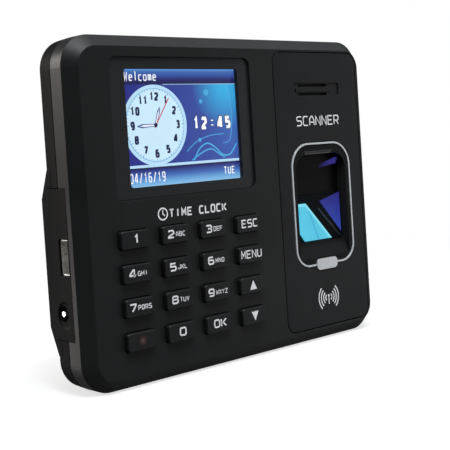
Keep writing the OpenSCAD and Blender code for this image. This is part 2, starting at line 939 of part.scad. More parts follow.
module dc_jack() {
    color([0.06, 0.06, 0.06])
        difference() {
            block(jack_mouth, jack_mouth + jack_len, jack_z - jack_w / 2, jack_z + jack_w / 2,
                  jack_depth - jack_w / 2, jack_depth + jack_w / 2);
            translate([jack_mouth - 1, at(jack_depth), jack_z])
                rotate([0, 90, 0])
                    cylinder(h = plug_reach + 1.3, r = jack_r);
            translate([jack_mouth, at(jack_depth), jack_z])
                rotate([0, 90, 0])
                    cylinder(h = jack_len + 1, r = pin_r + 0.02);
        }
}

module dc_pin() {
    color([0.85, 0.85, 0.83])
        translate([pin_tip, at(jack_depth), jack_z])
            rotate([0, 90, 0])
                cylinder(h = jack_mouth + jack_len - 0.7 - pin_tip, r = pin_r);
}

module case_screws() {
    color([0.5, 0.5, 0.51])
        at_case_screws()
            screw(0, 0, 2.8, 1.7, 1.25, 10.5, 16.02);
}

module wall_plate() {
    top = hook_z;
    color([0.66, 0.67, 0.68])
        difference() {
            union() {
                slab(0, 0, plate_w, plate_h, 4, pod_depth + 0.02, back_depth);
                for (s = [-1, 1]) {
                    block(s * hook_x - hook_w / 2, s * hook_x + hook_w / 2, top - plate_t, top,
                          pod_depth - pod_wall - hook_reach / 2, back_depth - eps);
                    block(s * hook_x - hook_w / 2, s * hook_x + hook_w / 2, top - plate_t,
                          top + hook_reach, pod_depth - pod_wall - hook_reach / 2,
                          pod_depth - pod_wall - hook_reach / 2 + plate_t);
                }
                block(-8, 8, lock_z, -plate_h / 2 + 2, pod_depth + 0.02, back_depth);
                block(-8, 8, lock_z, lock_z + plate_t, pod_depth - 11, back_depth - eps);
            }
            for (sx = [-1, 1], sz = [-1, 1])
                rod(sx * bolt_x / 2, sz * bolt_z / 2, bolt_r, 0, back_depth + 1);
            translate([0, at(pod_depth - 7), lock_z - 1])
                cylinder(h = plate_t + 2, r = 1.3);
        }
}

module lock_screw() {
    color([0.72, 0.72, 0.73])
        translate([0, at(pod_depth - 7), -pod_h / 2 - 0.8]) {
            difference() {
                cylinder(h = 1.7, r = 2.8);
                for (a = [0, 90])
                    rotate([0, 0, a])
                        translate([-1.6, -0.3, -1])
                            cube([3.2, 0.6, 1.8]);
            }
            translate([0, 0, 1.7 - eps])
                cylinder(h = 5, r = 1.25);
        }
}

front_cover();
rear_cover();
screen_lens();
lcd_gasket();
lcd_panel();
lcd_backlight();
lcd_tray();
lcd_ribbon();
key_1();
key_2();
key_3();
key_esc();
key_4();
key_5();
key_6();
key_menu();
key_7();
key_8();
key_9();
key_up();
key_power();
key_0();
key_ok();
key_down();
key_mat();
keypad_board();
keypad_screws();
scanner_panel();
trim_ring();
trim_badge();
finger_well();
sensor_window();
light_guide();
light_baffle();
sensor_mirror();
sensor_housing();
sensor_lens();
sensor_board();
sensor_leds();
sensor_ribbon();
speaker_mesh();
speaker_frame();
speaker_cone();
speaker_magnet();
antenna_board();
antenna_coil();
main_board();
board_chips();
board_screws();
cell_holder();
coin_cell();
usb_shell();
usb_tongue();
dc_jack();
dc_pin();
case_screws();
wall_plate();
lock_screw();
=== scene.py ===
import math

import bmesh
import bpy
from mathutils import Matrix, Vector


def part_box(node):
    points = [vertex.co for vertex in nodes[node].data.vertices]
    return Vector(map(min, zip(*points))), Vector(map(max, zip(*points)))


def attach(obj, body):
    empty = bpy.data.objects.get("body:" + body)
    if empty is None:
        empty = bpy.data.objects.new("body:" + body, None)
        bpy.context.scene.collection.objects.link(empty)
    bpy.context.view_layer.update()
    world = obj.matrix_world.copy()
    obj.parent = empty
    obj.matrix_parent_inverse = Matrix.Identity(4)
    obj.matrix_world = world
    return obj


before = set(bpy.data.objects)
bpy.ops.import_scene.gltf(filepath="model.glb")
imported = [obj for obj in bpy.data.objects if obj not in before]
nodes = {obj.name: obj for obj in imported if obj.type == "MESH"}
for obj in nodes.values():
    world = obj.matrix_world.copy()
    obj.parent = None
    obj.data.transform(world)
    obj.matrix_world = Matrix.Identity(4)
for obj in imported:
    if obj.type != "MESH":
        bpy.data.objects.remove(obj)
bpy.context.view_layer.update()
MM = 0.001
face_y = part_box("front_cover")[0].y

PRINT_THICK = 0.02  # mm, one printed or lit layer
PRINT_PROUD = 0.012  # mm that printing stands in front of its surface
SPARK_SCALE = 2200  # noise scale of moulded plastic's spark texture
SPARK_DEPTH = 0.03 * MM
SOFT_EDGE = 0.3 * MM  # rounding shown on moulded plastic's edges
METAL_EDGE = 0.15 * MM
WEAR_AND_GLINT = 0.008  # how much paler rubbed edges are, partly as wear and partly as a painted edge highlight


# ---------------------------------------------------------------- node helpers
class Tree:
    """One procedural material with a Principled shader."""

    def __init__(self, name):
        self.mat = bpy.data.materials.new(name)
        self.mat.use_nodes = True
        self.nt = self.mat.node_tree
        self.nt.nodes.clear()
        self.out = self.add("ShaderNodeOutputMaterial")
        self.p = self.add("ShaderNodeBsdfPrincipled")
        self.link(self.p.outputs[0], self.out.inputs[0])
        self.coord = self.add("ShaderNodeTexCoord").outputs["Object"]

    def add(self, kind):
        return self.nt.nodes.new(kind)

    def link(self, a, b):
        self.nt.links.new(a, b)

    def put(self, socket, value):
        if hasattr(value, "links"):
            self.link(value, socket)
        else:
            socket.default_value = value

    def set(self, **values):
        for k, v in values.items():
            self.put(self.p.inputs[k.replace("_", " ")], v)

    def noise(self, scale, detail=2.0, rough=0.5, stretch=None):
        n = self.add("ShaderNodeTexNoise")
        v = self.coord
        if stretch:
            m = self.add("ShaderNodeMapping")
            m.inputs["Scale"].default_value = stretch
            self.link(v, m.inputs[0])
            v = m.outputs[0]
        self.link(v, n.inputs["Vector"])
        n.inputs["Scale"].default_value = scale
        n.inputs["Detail"].default_value = detail
        n.inputs["Roughness"].default_value = rough
        return n.outputs[0]

    def span(self, value, lo, hi, a=0.3, b=0.7):
        """value from a..b mapped to lo..hi and clamped."""
        n = self.add("ShaderNodeMapRange")
        self.link(value, n.inputs["Value"])
        for k, v in (("From Min", a), ("From Max", b), ("To Min", lo), ("To Max", hi)):
            n.inputs[k].default_value = v
        return n.outputs[0]

    def math(self, op, a, b=0.0, c=0.0):
        n = self.add("ShaderNodeMath")
        n.operation = op
        for s, v in zip(n.inputs, (a, b, c)):
            self.put(s, v)
        return n.outputs[0]

    def mix(self, fac, a, b):
        n = self.add("ShaderNodeMix")
        n.data_type = "RGBA"
        self.put(n.inputs["Factor"], fac)
        self.put(n.inputs[6], a if hasattr(a, "links") else (*a, 1.0))
        self.put(n.inputs[7], b if hasattr(b, "links") else (*b, 1.0))
        return n.outputs[2]

    def xyz(self):
        n = self.add("ShaderNodeSeparateXYZ")
        self.link(self.coord, n.inputs[0])
        return n.outputs

    def bump(self, height, strength, distance, rounding=0.0):
        b = self.add("ShaderNodeBump")
        b.inputs["Strength"].default_value = strength
        b.inputs["Distance"].default_value = distance
        self.link(height, b.inputs["Height"])
        if rounding:
            r = self.add("ShaderNodeBevel")
            r.samples = 4
            r.inputs["Radius"].default_value = rounding
            self.link(r.outputs[0], b.inputs["Normal"])
        self.link(b.outputs[0], self.p.inputs["Normal"])

    def edges(self, radius):
        """About 1 along sharp edges and 0 on flat faces."""
        r = self.add("ShaderNodeBevel")
        r.samples = 4
        r.inputs["Radius"].default_value = radius
        g = self.add("ShaderNodeNewGeometry")
        d = self.add("ShaderNodeVectorMath")
        d.operation = "DOT_PRODUCT"
        self.link(r.outputs[0], d.inputs[0])
        self.link(g.outputs["Normal"], d.inputs[1])
        return self.span(d.outputs["Value"], 1.0, 0.0, 0.75, 0.995)


def moulded(name, tint, rough, grain=SPARK_SCALE, depth=SPARK_DEPTH, spec=0.2, ahead=None):
    """Moulded plastic: fine spark texture, faint flow marks, handling sheen, and rubbed edges whose
    paler colour is partly wear and partly a painted edge highlight.

    ahead is an optional tint that the sides take on towards the front of the case, a painted light that
    makes the sides lighter towards the front."""
    t = Tree(name)
    cloud = t.noise(38, 4, 0.6)
    fine = t.noise(grain, 2, 0.55)
    lift = tuple(c * 1.3 + 0.0003 for c in tint)
    base = t.mix(t.span(cloud, 0.0, 1.0, 0.35, 0.65), tint, lift)
    # Painted light: the sides blend to the ahead tint towards the front, lighter where the light falls
    # on them.
    if ahead:
        y = t.xyz()[1]
        base = t.mix(t.span(y, 1.0, 0.0, face_y + 8 * MM, face_y + 19 * MM), base, ahead)
    # Paler edges: partly rubbed wear and partly a painted highlight along the edges.
    rub_and_edge_glint = t.edges(SOFT_EDGE * 1.6)
    worn_and_glint_tint = tuple(min(1.0, c + WEAR_AND_GLINT) for c in tint)
    t.set(Base_Color=t.mix(t.math("MULTIPLY", rub_and_edge_glint, t.span(t.noise(160, 3), 0.25, 1.0)), base, worn_and_glint_tint))
    sheen = t.span(t.noise(17, 3, 0.55), rough - 0.05, rough + 0.06)
    t.set(Roughness=t.math("SUBTRACT", t.math("ADD", sheen, t.span(fine, -0.03, 0.03)),
                           t.math("MULTIPLY", rub_and_edge_glint, 0.05)))
    t.p.inputs["Specular IOR Level"].default_value = spec
    t.bump(fine, 0.35, depth, SOFT_EDGE)
    return t.mat


def metal(name, tint, rough, brushed=None, metallic=1.0, grain=0.2):
    """Bare metal: uneven plating, with fine grain that may be stretched into brushing."""
    t = Tree(name)
    cloud = t.noise(60, 4, 0.6)
    fine = t.noise(900, 3, 0.6, brushed)
    dark = tuple(c * 0.86 for c in tint)
    t.set(Base_Color=t.mix(t.span(cloud, 0, 1), dark, tint),
          Roughness=t.math("ADD", t.span(fine, rough - 0.06, rough + 0.06),
                           t.span(cloud, -0.03, 0.05)))
    t.p.inputs["Metallic"].default_value = metallic
    t.bump(fine, grain, SPARK_DEPTH / 2, METAL_EDGE)
    return t.mat


def glow(name, tint, strength, vary=0.12):
    """A lit surface with slightly uneven light."""
    t = Tree(name)
    n = t.span(t.noise(90, 3, 0.5), 1 - vary, 1.0)
    t.set(Base_Color=tuple(c * 0.3 for c in tint) + (1,),
          Roughness=t.span(t.noise(300, 2), 0.3, 0.4))
    t.set(Emission_Color=t.mix(t.span(n, 0, 1, 1 - vary, 1.0),
                               tuple(c * (1 - vary) for c in tint), tint))
    t.p.inputs["Emission Strength"].default_value = strength
    return t.mat


def ink(name, tint, rough=0.55):
    """Pad-printed ink: thin, very slightly uneven in cover."""
    t = Tree(name)
    t.set(Base_Color=t.mix(t.span(t.noise(1500, 3), 0, 1), tuple(c * 0.88 for c in tint), tint),
          Roughness=t.span(t.noise(700, 2), rough - 0.05, rough + 0.05))
    return t.mat


def clear(name, tint, rough, share=0.03):
    """Thin clear sheet: passes light straight through and mirrors the room at its surface."""
    t = Tree(name)
    see = t.add("ShaderNodeBsdfTransparent")
    see.inputs[0].default_value = (*tint, 1)
    facing = t.add("ShaderNodeLayerWeight").outputs["Facing"]
    fres = t.math("MULTIPLY_ADD", t.math("POWER", facing, 5.0), 0.9, share)
    t.set(Base_Color=(0.01, 0.01, 0.012, 1),
          Roughness=t.span(t.noise(45, 4, 0.6), rough, rough + 0.09))
    mix = t.add("ShaderNodeMixShader")
    t.link(fres, mix.inputs[0])
    t.link(see.outputs[0], mix.inputs[1])
    t.link(t.p.outputs[0], mix.inputs[2])
    t.link(mix.outputs[0], t.out.inputs[0])
    return t.mat


def board(name):
    """Green solder mask with fine slanting traces in patches."""
    t = Tree(name)
    x, _, z = t.xyz()
    run = t.math("SINE", t.math("MULTIPLY", t.math("ADD", x, z), 5200))
    traces = t.span(run, 0, 1, 0.55, 0.7)
    patch = t.span(t.noise(240, 2), 0, 1, 0.48, 0.52)
    t.set(Base_Color=t.mix(t.math("MULTIPLY", traces, patch), (0.012, 0.1, 0.035), (0.03, 0.2, 0.07)),
          Roughness=t.span(t.noise(120, 3), 0.28, 0.42))
    t.bump(t.math("MULTIPLY", traces, patch), 0.3, SPARK_DEPTH)
    return t.mat


def woven(name, tint, pitch):
    """Plain weave, one thread every pitch metres."""
    t = Tree(name)
    x, _, z = t.xyz()
    k = 2 * math.pi / pitch
    wave = t.math("MULTIPLY", t.math("SINE", t.math("MULTIPLY", x, k)),
                  t.math("SINE", t.math("MULTIPLY", z, k)))
    t.set(Base_Color=t.mix(t.span(wave, 0, 1, -0.6, 0.6), tuple(c * 0.3 for c in tint), tint),
          Roughness=t.span(t.noise(400, 2), 0.75, 0.9))
    t.bump(wave, 0.6, 0.0001)
    return t.mat


def well(name):
    """Dark finger well with painted light and shade: a paler lip as a painted highlight, a paler ramp
    and right wall as painted light, a darker back as painted shade, and a slanting blue painted
    reflection on its back wall.
    """
    lo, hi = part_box("finger_well")
    window_lo, window_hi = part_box("sensor_window")
    lip_x0, lip_x1 = lo.x + 8.5 * MM, hi.x - 10.7 * MM
    lip_z0, lip_z1 = hi.z - 5.95 * MM, hi.z - 3.35 * MM
    ramp_z0, ramp_z1 = window_lo.z - 2.3 * MM, window_lo.z + 0.7 * MM
    painted_reflection_x, painted_reflection_z = window_hi.x - 5.8 * MM, hi.z - 9.25 * MM
    # Painted light and shade in the well's colours: a darker back as shade in the recess, a paler right
    # wall and ramp as lit faces, a pale lip as a highlight.
    flange_tint = (0.0066, 0.0068, 0.0072)
    shaded_back_tint = (0.0018, 0.0019, 0.0022)
    lit_wall_tint = (0.0150, 0.0154, 0.0160)
    lit_ramp_tint = (0.0105, 0.0108, 0.0110)
    lip_face_highlight, lip_inside_highlight = (0.045, 0.045, 0.046), (0.27, 0.27, 0.275)

    t = Tree(name)
    x, y, z = t.xyz()
    fine = t.noise(SPARK_SCALE, 2, 0.55)
    sunk = t.span(y, 0, 1, face_y + 0.2 * MM, face_y + 0.4 * MM)
    shallow = t.span(y, 1, 0, face_y + 1.4 * MM, face_y + 2.2 * MM)
    in_height = t.math("MULTIPLY", t.span(z, 0, 1, lip_z0, lip_z0 + 0.4 * MM),
                       t.span(z, 1, 0, lip_z1 - 0.2 * MM, lip_z1))
    in_width = t.math("MULTIPLY", t.span(x, 0, 1, lip_x0, lip_x0 + 0.3 * MM),
                      t.span(x, 1, 0, lip_x1 - 0.7 * MM, lip_x1))
    lip = t.math("MULTIPLY", t.math("MULTIPLY", shallow, in_height), in_width)
    ramp = t.span(z, 1, 0, ramp_z0, ramp_z1)
    lit_right_wall = t.span(x, 0, 1, window_hi.x - 0.4 * MM, window_hi.x + 0.1 * MM)
    base = t.mix(lit_right_wall, shaded_back_tint, lit_wall_tint)
    base = t.mix(ramp, base, lit_ramp_tint)
    base = t.mix(sunk, flange_tint, base)
    # Painted highlight: the lip is much paler than the rest of the well.
    t.set(Base_Color=t.mix(lip, base, t.mix(sunk, lip_face_highlight, lip_inside_highlight)),
          Roughness=t.span(fine, 0.42, 0.56))
    t.p.inputs["Specular IOR Level"].default_value = 0.08
    t.bump(fine, 0.35, SPARK_DEPTH, SOFT_EDGE)

    # Painted reflection: a slanting blue glow emitted by the back wall's plastic.
    along = t.math("SUBTRACT", x, painted_reflection_x)
    slant = t.math("MULTIPLY_ADD", along, -0.2, t.math("SUBTRACT", z, painted_reflection_z))
    half = t.math("MULTIPLY_ADD", along, 0.07, 1.2 * MM)
    away = t.math("POWER", t.math("DIVIDE", slant, half), 2.0)
    deep = t.span(y, 0, 1, face_y + 3 * MM, face_y + 4 * MM)
    painted_reflection = t.math("MULTIPLY", t.span(away, 1, 0, 0.4, 1.1), deep)
    painted_reflection = t.math("MULTIPLY", painted_reflection, t.span(along, 0, 1, -6.8 * MM, 1.0 * MM))
    painted_reflection = t.math("MULTIPLY", painted_reflection, t.span(along, 1, 0, 4.8 * MM, 5.4 * MM))
    t.set(Emission_Color=t.mix(painted_reflection, (0, 0, 0), (0.032, 0.028, 0.2)))
    t.p.inputs["Emission Strength"].default_value = 1.0
    return t.mat


def guide_light(name):
    """Lit cyan guide: pale along its top and sloping edges, with a darker line inside."""
    lo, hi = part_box("light_guide")
    top_wide = 7.4 * MM
    lean = (hi.x - lo.x - top_wide) / (hi.z - lo.z)
    slope = hi.x + lo.z * lean
    line_lean = 0.39
    line_at = lo.x + 14.311 * MM + lo.z * line_lean

    t = Tree(name)
    x, _, z = t.xyz()
    edge = t.math("MULTIPLY_ADD", z, lean, x)
    rim = t.math("MAXIMUM", t.span(z, 0, 1, hi.z - 1.4 * MM, hi.z - 0.9 * MM),
                 t.span(edge, 0, 1, slope - 1.9 * MM, slope - 1.2 * MM))
    line = t.math("ABSOLUTE",
                  t.math("SUBTRACT", t.math("MULTIPLY_ADD", z, line_lean, x), line_at))
    body = t.mix(t.span(t.noise(60, 3), 0, 1), (0.10, 0.53, 0.70), (0.13, 0.62, 0.78))
    body = t.mix(t.span(line, 0.75, 0, 0.2 * MM, 0.5 * MM), body, (0.05, 0.33, 0.56))
    t.set(Base_Color=(0.03, 0.1, 0.12, 1), Roughness=t.span(t.noise(300, 2), 0.3, 0.4),
          Emission_Color=t.mix(rim, body, (0.27, 0.76, 0.86)))
    t.p.inputs["Specular IOR Level"].default_value = 0.05
    t.p.inputs["Emission Strength"].default_value = 1.0
    return t.mat


def mirror_light(name):
    """Blue mirror whose glow is painted reflected light: violet and darker at the top, brighter blue
    lower down.
    """
    lo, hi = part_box("sensor_mirror")
    t = Tree(name)
    z = t.xyz()[2]
    down = t.math("ADD", t.span(z, 1, 0, lo.z + 3 * MM, hi.z - 1 * MM),
                  t.span(t.noise(60, 2), -0.05, 0.05))
    t.set(Base_Color=(0.01, 0.01, 0.03, 1), Roughness=t.span(t.noise(300, 2), 0.25, 0.35),
          Emission_Color=t.mix(down, (0.030, 0.024, 0.20), (0.035, 0.060, 0.36)))
    t.p.inputs["Specular IOR Level"].default_value = 0.05
    t.p.inputs["Emission Strength"].default_value = 1.0
    return t.mat


def lamp(name, middle, far):
    """Unlit red indicator under a smoked skin: a pale core fading out to the key's colour.

    middle is its (x, z) in metres and far its radius."""
    key_tint, red_tint, core_tint = (0.0083, 0.0083, 0.0088), (0.040, 0.019, 0.018), (0.10, 0.062, 0.060)
    t = Tree(name)
    x, _, z = t.xyz()
    away = t.math("SQRT", t.math("ADD", t.math("POWER", t.math("SUBTRACT", x, middle[0]), 2.0),
                                 t.math("POWER", t.math("SUBTRACT", z, middle[1]), 2.0)))
    halo = t.mix(t.span(away, 1, 0, far * 0.6, far), key_tint, red_tint)
    t.set(Base_Color=t.mix(t.span(away, 1, 0, far * 0.12, far * 0.5), halo, core_tint),
          Roughness=t.span(t.noise(700, 2), 0.4, 0.5))
    t.p.inputs["Specular IOR Level"].default_value = 0.2
    return t.mat


# ---------------------------------------------------------------- materials
# One material for each slot of the record, and a few nodes that need one of their own.
finish = {
    "case": moulded("case_abs", (0.0078, 0.0081, 0.0083), 0.46),
    "panel": moulded("panel_abs", (0.0080, 0.0082, 0.0088), 0.46, spec=0.17),
    "key": moulded("key_satin", (0.0080, 0.0083, 0.0086), 0.42),
    "lens": clear("lens_acrylic", (0.94, 0.95, 0.96), 0.08),
    "window": clear("window_glass", (0.9, 0.95, 0.98), 0.03, share=0.008),
    "foam": moulded("gasket_foam", (0.1, 0.088, 0.078), 0.85, grain=1400, depth=0.0001),
    "display": glow("display_glass", (0.02, 0.03, 0.2), 0.6),
    "white_plastic": moulded("diffuser_white", (0.72, 0.72, 0.69), 0.4),
    "plated_steel": metal("nickel_plate", (0.8, 0.79, 0.77), 0.28, metallic=0.85),
    "flex": moulded("polyimide", (0.42, 0.19, 0.04), 0.3),
    "silicone": moulded("silicone_grey", (0.3, 0.31, 0.32), 0.6),
    "board_green": board("solder_mask"),
    "screw_steel": metal("zinc_screw", (0.62, 0.62, 0.6), 0.35),
    "dark_steel": metal("black_oxide", (0.08, 0.08, 0.085), 0.42),
    "silver": metal("satin_silver", (0.56, 0.58, 0.60), 0.34, metallic=0.6, grain=0.05),
    "cyan_light": guide_light("guide_lit"),
    # The sensor mirror's blue glow is painted reflected light.
    "blue_light": mirror_light("mirror_glow_painted"),
    "inner_black": moulded("inner_black", (0.014, 0.014, 0.015), 0.5),
    "mesh": woven("speaker_cloth", (0.02, 0.02, 0.02), 0.0006),
    "cone": moulded("cone_film", (0.03, 0.03, 0.03), 0.5),
    "copper": metal("copper_trace", (0.75, 0.4, 0.22), 0.3),
    "zinc_plate": metal("zinc_sheet", (0.6, 0.61, 0.62), 0.38, brushed=(1, 1, 0.06)),
}
own = {
    # Painted shade: the rear cover is a darker copy of the case plastic, lightened towards the front by
    # the ahead tint as painted light.
    "rear_cover": moulded("rear_abs_painted_shade", (0.0022, 0.0022, 0.0023), 0.58, spec=0.045,
                          ahead=(0.0070, 0.0068, 0.0067)),
    "light_baffle": moulded("baffle_black", (0.0034, 0.0036, 0.0042), 0.6, spec=0.08),
    "finger_well": well("well_abs_painted_light"),
}
for name, obj in nodes.items():
    for s in obj.material_slots:
        s.material = own.get(name) or finish[s.material.name.split(".")[0]]

white_ink = ink("white_ink", (0.86, 0.87, 0.88))
black_print = ink("black_print", (0.006, 0.006, 0.0065), 0.5)
# A pale grey line painted along the baffle's ridge as a highlight.
ridge_highlight_grey = ink("ridge_highlight_grey", (0.030, 0.032, 0.036), 0.5)


# ---------------------------------------------------------------- shape helpers
def outline(w, h, r, cx, cz, steps=8):
    """Rounded rectangle in mm as (x, z) points, anticlockwise seen from the front."""
    pts = []
    for sx, sz, a0 in ((1, 1, 0), (-1, 1, 90), (-1, -1, 180), (1, -1, 270)):
        for i in range(steps + 1):
            a = math.radians(a0 + 90 * i / steps)
            pts.append((cx + sx * (w / 2 - r) + r * math.cos(a),
                        cz + sz * (h / 2 - r) + r * math.sin(a)))
    return pts


def disc(r, cx, cz, steps, a0=0.0, a1=360.0):
    """Points of a circle or arc in mm, from angle a0 towards a1 in degrees."""
    return [(cx + r * math.cos(math.radians(a0 + (a1 - a0) * i / steps)),
             cz + r * math.sin(math.radians(a0 + (a1 - a0) * i / steps))) for i in range(steps)]


def strip(pts, width, closed=False):
    """A stroke of even width along (x, z) points, with mitred corners, as quads."""
    p = [Vector(q) for q in pts]
    n = len(p)
    left, right = [], []
    for i in range(n):
        before = p[i - 1] if closed or i else None
        after = p[(i + 1) % n] if closed or i < n - 1 else None
        d0 = (p[i] - before).normalized() if before is not None else None
        d1 = (after - p[i]).normalized() if after is not None else None
        d0, d1 = d0 or d1, d1 or d0
        n0, n1 = Vector((-d0.y, d0.x)), Vector((-d1.y, d1.x))
        m = n0 + n1
        m = m.normalized() if m.length > 1e-6 else n0
        k = width / 2 / max(0.45, m.dot(n0))
        left.append(p[i] + m * k)
        right.append(p[i] - m * k)
    quads = []
    for i in range(n if closed else n - 1):
        j = (i + 1) % n
        quads.append([left[i], right[i], right[j], left[j]])
    return quads


def piece(name, polys, depth, material, body):
    """Flat polygons in mm, their front at the given depth behind the face, with real thickness."""
    bm = bmesh.new()
    faces = []
    for poly in polys:
        vs = [bm.verts.new((q[0] * MM, face_y + depth * MM, q[1] * MM)) for q in poly]
        faces.append(bm.faces.new(vs))
    bmesh.ops.remove_doubles(bm, verts=bm.verts, dist=1e-7)
    grown = bmesh.ops.extrude_face_region(bm, geom=list(bm.faces), use_keep_orig=True)
    moved = [v for v in grown["geom"] if isinstance(v, bmesh.types.BMVert)]
    bmesh.ops.translate(bm, verts=moved, vec=(0, PRINT_THICK * MM, 0))
    bmesh.ops.recalc_face_normals(bm, faces=bm.faces)
    me = bpy.data.meshes.new(name)
    bm.to_mesh(me)
    bm.free()
    o = bpy.data.objects.new(name, me)
    bpy.context.scene.collection.objects.link(o)
    me.materials.append(material)
    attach(o, body)
    return o


def frame_polys(outer, inner):
    """The band between two outlines of the same number of points."""
    n = len(outer)
    return [[outer[i], outer[(i + 1) % n], inner[(i + 1) % n], inner[i]] for i in range(n)]


# Letter strokes, drawn on a unit square that a few of them slightly overrun.
# None at the end of a stroke closes it.
BOX = [(0.17, 0), (0.83, 0), (1, 0.17), (1, 0.83), (0.83, 1), (0.17, 1), (0, 0.83), (0, 0.17), None]
GLYPHS = {
    "0": [BOX], "O": [BOX],
    "1": [[(0.25, 0.78), (0.58, 1), (0.58, 0)]],
    "2": [[(0, 0.82), (0.17, 1), (0.83, 1), (1, 0.83), (1, 0.6), (0, 0.14), (0, 0), (1, 0)]],
    "3": [[(0, 1), (0.83, 1), (1, 0.86), (1, 0.66), (0.86, 0.52), (0.3, 0.52)],
          [(0.86, 0.52), (1, 0.38), (1, 0.14), (0.83, 0), (0, 0)]],
    "4": [[(0.78, 0), (0.78, 1), (0.6, 1), (0, 0.38), (0, 0.24), (1.05, 0.24)]],
    "5": [[(0.95, 1), (0.03, 1), (0.03, 0.57), (0.83, 0.57), (1, 0.43), (1, 0.14), (0.83, 0), (0, 0)]],
    "6": [[(0.92, 1), (0.17, 1), (0, 0.83), (0, 0.17), (0.17, 0), (0.83, 0), (1, 0.15),
           (1, 0.42), (0.83, 0.57), (0, 0.57)]],
    "7": [[(0, 1), (1, 1), (1, 0.84), (0.36, 0)]],
    "8": [[(0.17, 0), (0.83, 0), (1, 0.14), (1, 0.4), (0.9, 0.53), (0.97, 0.66), (0.97, 0.87),
           (0.83, 1), (0.17, 1), (0.03, 0.87), (0.03, 0.66), (0.1, 0.53), (0, 0.4), (0, 0.14),
           None], [(0.1, 0.53), (0.9, 0.53)]],
    "9": [[(0.08, 0), (0.83, 0), (1, 0.17), (1, 0.83), (0.83, 1), (0.17, 1), (0, 0.85),
           (0, 0.58), (0.17, 0.43), (1, 0.43)]],
    "A": [[(0, 0), (0, 0.62), (0.36, 1), (0.64, 1), (1, 0.62), (1, 0)], [(0, 0.34), (1, 0.34)]],
    "B": [[(0, 0.52), (0.84, 0.52), (0.95, 0.64), (0.95, 0.88), (0.83, 1), (0, 1), (0, 0),
           (0.83, 0), (1, 0.14), (1, 0.38), (0.84, 0.52)]],
    "C": [[(1, 1), (0.17, 1), (0, 0.83), (0, 0.17), (0.17, 0), (1, 0)]],
    "D": [[(0, 0), (0.8, 0), (1, 0.2), (1, 0.8), (0.8, 1), (0, 1), None]],
    "E": [[(1, 1), (0, 1), (0, 0), (1, 0)], [(0, 0.51), (0.86, 0.51)]],
    "F": [[(1, 1), (0, 1), (0, 0)], [(0, 0.5), (0.86, 0.5)]],
    "G": [[(1, 1), (0.17, 1), (0, 0.83), (0, 0.17), (0.17, 0), (1, 0), (1, 0.5), (0.5, 0.5)]],
    "H": [[(0, 0), (0, 1)], [(1, 0), (1, 1)], [(0, 0.5), (1, 0.5)]],
    "I": [[(0.5, 0), (0.5, 1)]],
    "J": [[(1, 1), (1, 0.17), (0.83, 0), (0.17, 0), (0, 0.17), (0, 0.34)]],
    "K": [[(0, 0), (0, 1)], [(1, 1), (0.34, 0.5), (1, 0)], [(0, 0.5), (0.34, 0.5)]],
    "L": [[(0, 1), (0, 0), (1, 0)]],
    "M": [[(0, 0), (0, 1), (0.5, 0.35), (1, 1), (1, 0)]],
    "N": [[(0, 0), (0, 1), (1, 0), (1, 1)]],
    "P": [[(0, 0), (0, 1), (0.83, 1), (1, 0.86), (1, 0.58), (0.83, 0.44), (0, 0.44)]],
    "Q": [BOX, [(0.6, 0.32), (1.02, -0.06)]],
    "R": [[(0, 0), (0, 1), (0.83, 1), (1, 0.86), (1, 0.58), (0.83, 0.44), (0, 0.44)],
          [(0.5, 0.44), (1, 0)]],
    "S": [[(1, 1), (0.17, 1), (0, 0.86), (0, 0.66), (0.17, 0.52), (0.83, 0.52), (1, 0.38),
           (1, 0.14), (0.83, 0), (0, 0)]],
    "T": [[(0, 1), (1, 1)], [(0.5, 1), (0.5, 0)]],
    "U": [[(0, 1), (0, 0.17), (0.17, 0), (0.83, 0), (1, 0.17), (1, 1)]],
    "V": [[(0, 1), (0.5, 0), (1, 1)]],
    "W": [[(0, 1), (0.2, 0), (0.5, 0.66), (0.8, 0), (1, 1)]],
    "X": [[(0, 1), (1, 0)], [(0, 0), (1, 1)]],
    "Y": [[(0, 1), (0.5, 0.5), (1, 1)], [(0.5, 0.5), (0.5, 0)]],
    "Z": [[(0, 1), (1, 1), (0, 0), (1, 0)]],
    "/": [[(0.1, -0.05), (0.9, 1.05)]],
    ":": [[(0.5, 0.2), (0.5, 0.32)], [(0.5, 0.68), (0.5, 0.8)]],
    "c": [[(1, 0.66), (0.17, 0.66), (0, 0.5), (0, 0.16), (0.17, 0), (1, 0)]],
    "e": [[(0, 0.36), (1, 0.36), (1, 0.52), (0.83, 0.66), (0.17, 0.66), (0, 0.5), (0, 0.16),
           (0.17, 0), (0.95, 0)]],
    "l": [[(0.2, 1), (0.5, 1), (0.5, 0)]],
    "m": [[(0, 0), (0, 0.66), (0.83, 0.66), (1, 0.55), (1, 0)], [(0.5, 0.66), (0.5, 0)]],
    "o": [[(0.17, 0), (0.83, 0), (1, 0.16), (1, 0.5), (0.83, 0.66), (0.17, 0.66), (0, 0.5),
           (0, 0.16), None]],
}


def letters(text, x, z, w, h, pitch, stroke):
    """Stroke letters in mm, the first one's lower left corner at (x, z).

    Each is w wide and h high, and pitch is from one to the next."""
    quads = []
    for i, ch in enumerate(text):
        if ch == " ":
            continue
        for line in GLYPHS[ch]:
            shut = line[-1] is None
            pts = [(x + i * pitch + stroke / 2 + u * (w - stroke), z + stroke / 2 + v * (h - stroke))
                   for u, v in (line[:-1] if shut else line)]
            quads += strip(pts, stroke, shut)
    return quads


# ---------------------------------------------------------------- key legends
key_top = {k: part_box(k) for k in nodes if k.startswith("key_") and k != "key_mat"}


def key_mid(k):
    lo, hi = key_top[k]
    return (lo.x + hi.x) / 2 / MM, (lo.z + hi.z) / 2 / MM


top_depth = (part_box("key_1")[0].y - face_y) / MM  # the key tops, in mm behind the face


def on_key(k, what, polys, material):
    """Printing on a key's top, which rides on that key's own body."""
    piece(k + "_" + what, polys, top_depth - PRINT_PROUD, material, k + "_cap")


